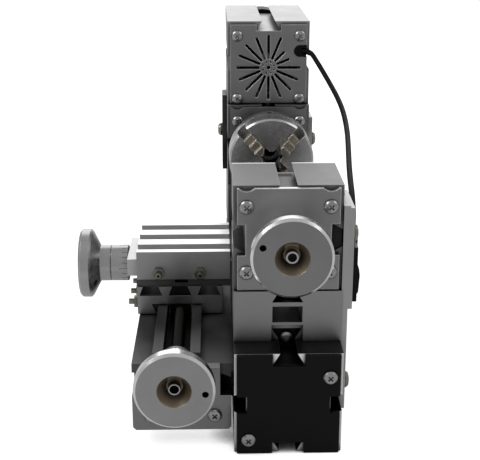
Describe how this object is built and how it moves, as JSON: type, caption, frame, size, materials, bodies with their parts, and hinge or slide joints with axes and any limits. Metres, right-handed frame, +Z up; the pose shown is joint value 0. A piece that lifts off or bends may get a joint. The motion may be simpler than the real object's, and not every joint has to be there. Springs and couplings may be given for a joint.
{
  "type": "mini metal lathe",
  "caption": "Small modular metal lathe with a square dovetail-groove bed, headstock with chuck, motor housing, tailstock quill, long slide and cross slide worked by handwheels.",
  "frame": {"origin": "middle of the dovetail groove in the underside of the bed, halfway along the bed, in the plane that the bed stands on", "axes": "+X along the bed and the spindle from the headstock towards the tailstock, +Y to the rear of the machine (the operator and the long slide are at -Y), +Z up"},
  "size_m": [0.3336, 0.1464, 0.175],
  "materials": {
    "black_anodised": "satin black anodised extrusion",
    "grey_aluminium": "satin bead-blasted grey anodised",
    "silver_aluminium": "satin silver anodised",
    "turned_aluminium": "turned, with fine rings",
    "bright_steel": "turned and ground, bright",
    "plated_screws": "bright zinc or nickel plate",
    "warm_nickel": "nickel with a warm, brassy tone",
    "sheet_steel": "brushed, plated strip",
    "bronze": "machined",
    "dark_steel": "blued, oily",
    "black_plastic": "fine-grained moulded plastic",
    "switch_plastic": "glossy moulded plastic",
    "black_rubber": "matt"
  },
  "bodies": {
    "base": {"bed_rail": "black_anodised", "bed_end_caps": "black_plastic", "tail_raiser": "grey_aluminium", "head_raiser": "grey_aluminium", "stack_keys": "dark_steel", "slide_key": "dark_steel", "small_screws": "plated_screws", "tailstock_housing": "grey_aluminium", "tailstock_front_cover": "grey_aluminium", "headstock_housing": "grey_aluminium", "headstock_front_cover": "grey_aluminium", "rear_covers": "grey_aluminium", "spindle_bearings": "bright_steel", "motor_housing": "silver_aluminium", "motor_vent_cover": "grey_aluminium", "motor_can": "sheet_steel", "drive_belt": "black_rubber", "belt_cover": "black_plastic", "slide_base": "black_anodised", "slide_brackets": "grey_aluminium", "tail_strap": "sheet_steel", "head_strap": "sheet_steel", "front_plate": "black_anodised", "strap_bolts": "plated_screws", "groove_nuts": "dark_steel", "switch_plate": "sheet_steel", "switch_body": "switch_plastic", "cord_grommets": "black_rubber", "motor_cord": "black_rubber"},
    "spindle_set": {"spindle": "bright_steel", "spindle_pulley": "turned_aluminium", "chuck_body": "turned_aluminium"},
    "scroll": {"chuck_scroll_ring": "turned_aluminium"},
    "jaw_1": {"chuck_jaw_1": "warm_nickel"},
    "jaw_2": {"chuck_jaw_2": "warm_nickel"},
    "jaw_3": {"chuck_jaw_3": "warm_nickel"},
    "jaw_4": {"chuck_jaw_4": "warm_nickel"},
    "rotor": {"motor_shaft": "bright_steel", "motor_pulley": "turned_aluminium"},
    "quill_set": {"quill": "bright_steel", "tail_center": "bright_steel"},
    "tail_wheel": {"quill_screw": "bright_steel", "tail_handwheel": "turned_aluminium"},
    "long_wheel": {"slide_screw": "bright_steel", "slide_handwheel": "turned_aluminium"},
    "saddle": {"long_carriage": "grey_aluminium", "long_gib": "bronze", "long_gib_screws": "plated_screws", "long_nut": "bronze", "carriage_key": "dark_steel", "cross_base": "black_anodised", "cross_brackets": "grey_aluminium"},
    "cross_wheel": {"cross_screw": "bright_steel", "cross_handwheel": "turned_aluminium"},
    "tool_slide": {"cross_carriage": "silver_aluminium", "cross_gib": "bronze", "cross_gib_screws": "plated_screws", "cross_nut": "bronze"},
    "rocker": {"switch_rocker": "switch_plastic"}
  },
  "joints": [
    {"name": "spindle_turn", "type": "hinge", "parent": "base", "child": "spindle_set", "pos_m": [-0.03, 0, 0.1], "axis": [1, 0, 0], "continuous": true},
    {"name": "motor_turn", "type": "hinge", "parent": "base", "child": "rotor", "pos_m": [-0.15, 0, 0.15], "axis": [1, 0, 0], "continuous": true},
    {"name": "scroll_turn", "type": "hinge", "parent": "spindle_set", "child": "scroll", "pos_m": [-0.021, 0, 0.1], "axis": [1, 0, 0], "range_deg": [-744, 480]},
    {"name": "jaw_1_slide", "type": "slide", "parent": "spindle_set", "child": "jaw_1", "axis": [0, -0.7071, 0.7071], "range_m": [-0.0062, 0.004]},
    {"name": "jaw_2_slide", "type": "slide", "parent": "spindle_set", "child": "jaw_2", "axis": [0, -0.7071, -0.7071], "range_m": [-0.0062, 0.004]},
    {"name": "jaw_3_slide", "type": "slide", "parent": "spindle_set", "child": "jaw_3", "axis": [0, 0.7071, -0.7071], "range_m": [-0.0062, 0.004]},
    {"name": "jaw_4_slide", "type": "slide", "parent": "spindle_set", "child": "jaw_4", "axis": [0, 0.7071, 0.7071], "range_m": [-0.0062, 0.004]},
    {"name": "long_feed", "type": "hinge", "parent": "base", "child": "long_wheel", "pos_m": [0.15, -0.0517, 0.04125], "axis": [1, 0, 0], "range_deg": [-26280, 1800]},
    {"name": "saddle_slide", "type": "slide", "parent": "base", "child": "saddle", "axis": [1, 0, 0], "range_m": [-0.073, 0.005]},
    {"name": "cross_feed", "type": "hinge", "parent": "saddle", "child": "cross_wheel", "pos_m": [0.054, -0.09, 0.06045], "axis": [0, 1, 0], "range_deg": [0, 14400]},
    {"name": "cross_slide", "type": "slide", "parent": "saddle", "child": "tool_slide", "axis": [0, 1, 0], "range_m": [0, 0.04]},
    {"name": "tail_feed", "type": "hinge", "parent": "base", "child": "tail_wheel", "pos_m": [0.15, 0, 0.1], "axis": [-1, 0, 0], "range_deg": [-720, 7200]},
    {"name": "quill_slide", "type": "slide", "parent": "base", "child": "quill_set", "axis": [-1, 0, 0], "range_m": [-0.002, 0.02]},
    {"name": "rocker_tilt", "type": "hinge", "parent": "base", "child": "rocker", "pos_m": [0.122, 0.0302, 0.081], "axis": [1, 0, 0], "range_deg": [-14, 0]}
  ],
  "couplings": [
    {"joint": "motor_turn", "follows": "spindle_turn", "ratio": 2.5},
    {"joint": "jaw_1_slide", "follows": "scroll_turn", "m_per_rad": 0.00047746},
    {"joint": "jaw_2_slide", "follows": "scroll_turn", "m_per_rad": 0.00047746},
    {"joint": "jaw_3_slide", "follows": "scroll_turn", "m_per_rad": 0.00047746},
    {"joint": "jaw_4_slide", "follows": "scroll_turn", "m_per_rad": 0.00047746},
    {"joint": "long_feed", "follows": "saddle_slide", "rad_per_m": 6283.2},
    {"joint": "cross_feed", "follows": "cross_slide", "rad_per_m": 6283.2},
    {"joint": "tail_feed", "follows": "quill_slide", "rad_per_m": 6283.2}
  ]
}
